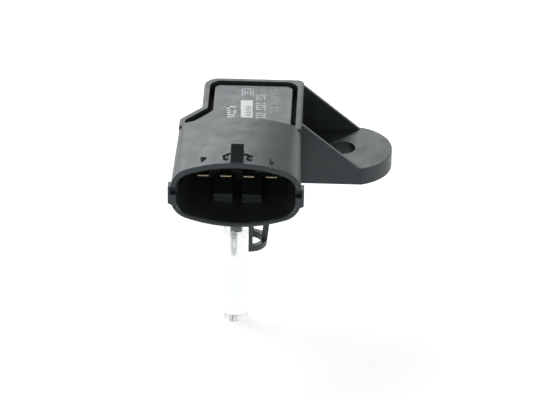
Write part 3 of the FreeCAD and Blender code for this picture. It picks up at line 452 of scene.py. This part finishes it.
class SENSOR_OT_build_marks(bpy.types.Operator):
    """Build the pale marks on the cover: a patch, a field, a frame and three columns of blind strokes"""
    bl_idname = "sensor.build_marks"
    bl_label = "Build the cover marks"

    def execute(self, context):
        film = context.scene.sensor_marks.film / MM
        low, high = COVER_TOP - film, COVER_TOP + film
        white = finish_material("White mark", (0.70, 0.73, 0.74), 0.6, second=(0.78, 0.80, 0.81), grain=0.12)
        bright = finish_material("Bright mark", (0.48, 0.50, 0.505), 0.6, second=(0.62, 0.64, 0.645),
                                 grain=0.12, patch_size=0.8 * MM)
        faint = finish_material("Faint mark", (0.28, 0.29, 0.295), 0.6, second=(0.40, 0.41, 0.415),
                                grain=0.12, patch_size=0.8 * MM)
        patch = Column((-0.95, 1.53), (-0.63, -6.48), 2.62)
        field = Column((-0.47, -1.05), (-0.29, -5.68), 1.22)
        box = Column((-0.92, 7.0), (-0.78, 3.1), 2.65)
        name_column = Column((-4.13, -1.26), (-3.88, -6.89), 2.11)
        number_column = Column((2.12, 4.43), (2.54, -6.95), 2.12)
        side_column = Column((5.03, 7.09), (5.43, -4.58), 1.45)
        pieces = (
            ("mark_patch", patch, [(-0.5, 0.5, 0.0, 1.0)], 0.0, white),
            ("mark_field", field, code_cells(14, 8), 0.5 * film, faint),
            ("mark_frame", box, [(-0.5, -0.42, 0.08, 0.92), (0.42, 0.5, 0.08, 0.92), (-0.5, 0.5, 0.0, 0.06),
                                 (-0.30, -0.20, 0.2, 0.8), (-0.05, 0.05, 0.3, 0.7), (0.20, 0.30, 0.2, 0.8)],
             0.0, bright),
            ("mark_name_column", name_column, letter_cells((3,), 3), 0.0, white),
            ("mark_number_column", number_column, digit_cells((3, 4, 3), 12), 0.0, bright),
            ("mark_side_column", side_column, digit_cells((3, 5, 4), 14), 0.0, faint),
        )
        for name, column, cells, extra, material in pieces:
            points, faces = column.place(cells, low, high + extra)
            mesh_piece(name, points, faces, material)
        return {"FINISHED"}


class SENSOR_OT_build_stage(bpy.types.Operator):
    """Build the floor, the lights, the white surroundings and the camera"""
    bl_idname = "sensor.build_stage"
    bl_label = "Build the stage"

    def execute(self, context):
        settings = context.scene.sensor_stage
        self.floor(settings)
        rear, side = (-settings.rear_shift, 0.42, 0.30), (0.7, -0.05, 0.08)
        self.light("Rear soft light", rear, (0, 0, 0), 0.9, 0.40, settings.rear_light)
        for word, sign in (("Left", -1), ("Right", 1)):
            place = (sign * side[0], side[1], side[2])
            self.light(word + " side light", place, (0, 0, 0.02), 0.6, 0.22, settings.side_light)
        self.light("Front fill light", (-0.15, -0.6, 0.55), (0, 0, 0), 0.5, 0.4, settings.fill)
        self.surroundings(context, settings)
        self.camera(context, settings)
        return {"FINISHED"}

    def floor(self, settings):
        """A white floor just under the lower end of the rod."""
        gap, half = 0.2 * MM, 3.0
        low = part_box("clear_rod")[0].z - gap
        mesh = bpy.data.meshes.new("Floor")
        corners = [(-half, -half, low), (half, -half, low), (half, half, low), (-half, half, low)]
        mesh.from_pydata(corners, [], [(0, 1, 2, 3)])
        floor = bpy.data.objects.new("Floor", mesh)
        bpy.context.scene.collection.objects.link(floor)
        mesh.materials.append(finish_material(
            "White paper floor", (0.90, 0.90, 0.90), 0.8, second=(0.91, 0.91, 0.91), grain=0.02,
            grain_size=2.0 * MM, patch_size=0.1, Emission_Color=WHITE, Emission_Strength=settings.floor_glow))

    def light(self, name, place, target, width, depth, radiance):
        """An area light of a given radiance: its power is radiance x area x pi."""
        data = bpy.data.lights.new(name, "AREA")
        data.shape = "RECTANGLE"
        data.size = width
        data.size_y = depth
        data.energy = radiance * width * depth * math.pi
        lamp = bpy.data.objects.new(name, data)
        bpy.context.scene.collection.objects.link(lamp)
        lamp.location = place
        lamp.rotation_mode = "QUATERNION"
        lamp.rotation_quaternion = (Vector(place) - Vector(target)).to_track_quat("Z", "Y")
        lamp.visible_camera = False
        lamp.visible_transmission = False

    def surroundings(self, context, settings):
        """White for what the camera sees straight or through the clear rod. Light and mirror rays see white
        walls that fade to a dim ceiling: the strength falls with the height of the ray's direction."""
        world = bpy.data.worlds.new("Studio surroundings")
        context.scene.world = world
        world.use_nodes = True
        tree = world.node_tree
        way = tree.nodes.new("ShaderNodeTexCoord")
        parts = tree.nodes.new("ShaderNodeSeparateXYZ")
        tree.links.new(way.outputs["Generated"], parts.inputs["Vector"])
        fade = tree.nodes.new("ShaderNodeMapRange")
        fade.interpolation_type = "SMOOTHSTEP"
        walls_end, ceiling_start = 0.15, 0.75
        fade.inputs["From Min"].default_value = walls_end
        fade.inputs["From Max"].default_value = ceiling_start
        fade.inputs["To Min"].default_value = settings.horizon
        fade.inputs["To Max"].default_value = settings.overhead
        tree.links.new(parts.outputs["Z"], fade.inputs["Value"])
        dim = tree.nodes["Background"]
        dim.inputs["Color"].default_value = WHITE
        tree.links.new(fade.outputs["Result"], dim.inputs["Strength"])
        white = tree.nodes.new("ShaderNodeBackground")
        white.inputs["Color"].default_value = WHITE
        white.inputs["Strength"].default_value = 1.0
        path = tree.nodes.new("ShaderNodeLightPath")
        seen = tree.nodes.new("ShaderNodeMath")
        seen.operation = "MAXIMUM"
        tree.links.new(path.outputs["Is Camera Ray"], seen.inputs[0])
        tree.links.new(path.outputs["Is Transmission Ray"], seen.inputs[1])
        mix = tree.nodes.new("ShaderNodeMixShader")
        tree.links.new(seen.outputs["Value"], mix.inputs["Fac"])
        tree.links.new(dim.outputs["Background"], mix.inputs[1])
        tree.links.new(white.outputs["Background"], mix.inputs[2])
        tree.links.new(mix.outputs["Shader"], tree.nodes["World Output"].inputs["Surface"])

    def camera(self, context, settings):
        """The photo's camera: 30 degrees above the horizon, 1.5 to the right, turned 0.8. Its long lens holds
        the photo's scale at the port, which stands off the picture's middle."""
        high, aside, turn = math.radians(30.0), math.radians(1.5), math.radians(0.8)
        scale = PIXELS_PER_MM / MM
        back = Vector((math.sin(aside) * math.cos(high), -math.cos(aside) * math.cos(high), math.sin(high)))
        level = Vector((math.cos(aside), math.sin(aside), 0.0))
        upright = back.cross(level)
        right = level * math.cos(turn) + upright * math.sin(turn)
        up = upright * math.cos(turn) - level * math.sin(turn)
        data = bpy.data.cameras.new("Camera")
        data.sensor_width = 36.0
        data.lens = scale * settings.distance / PICTURE[0] * data.sensor_width
        data.clip_start = 0.05
        data.clip_end = 10.0
        camera = bpy.data.objects.new("Camera", data)
        context.scene.collection.objects.link(camera)
        aside_port = (PICTURE[0] / 2 - PORT_IN_PICTURE[0]) / scale
        above_port = (PORT_IN_PICTURE[1] - PICTURE[1] / 2) / scale
        place = back * settings.distance + right * aside_port + up * above_port
        turned = Matrix((right, up, back)).transposed().to_4x4()
        camera.matrix_world = Matrix.Translation(place) @ turned
        context.scene.camera = camera


class SENSOR_PT_panel(bpy.types.Panel):
    """The sensor's settings in the sidebar"""
    bl_label = "Pressure sensor"
    bl_idname = "SENSOR_PT_panel"
    bl_space_type = "VIEW_3D"
    bl_region_type = "UI"
    bl_category = "Sensor"

    def draw(self, context):
        scene = context.scene
        for group in (scene.sensor_moulding, scene.sensor_marks, scene.sensor_stage):
            box = self.layout.box()
            for name in group.__annotations__:
                box.prop(group, name)
        for operator in OPERATORS:
            self.layout.operator(operator.bl_idname)


GROUPS = (SENSOR_PG_moulding, SENSOR_PG_marks, SENSOR_PG_stage)
OPERATORS = (SENSOR_OT_finish_nodes, SENSOR_OT_build_numerals, SENSOR_OT_build_marks, SENSOR_OT_build_stage)
CLASSES = GROUPS + OPERATORS + (SENSOR_PT_panel,)


def register():
    for item in CLASSES:
        bpy.utils.register_class(item)
    bpy.types.Scene.sensor_moulding = bpy.props.PointerProperty(type=SENSOR_PG_moulding)
    bpy.types.Scene.sensor_marks = bpy.props.PointerProperty(type=SENSOR_PG_marks)
    bpy.types.Scene.sensor_stage = bpy.props.PointerProperty(type=SENSOR_PG_stage)


def unregister():
    del bpy.types.Scene.sensor_stage
    del bpy.types.Scene.sensor_marks
    del bpy.types.Scene.sensor_moulding
    for item in reversed(CLASSES):
        bpy.utils.unregister_class(item)


def main():
    register()
    bpy.ops.sensor.finish_nodes()
    bpy.ops.sensor.build_numerals()
    bpy.ops.sensor.build_marks()
    bpy.ops.sensor.build_stage()
    bpy.context.scene.view_settings.view_transform = "Standard"


if __name__ == "__main__":
    main()
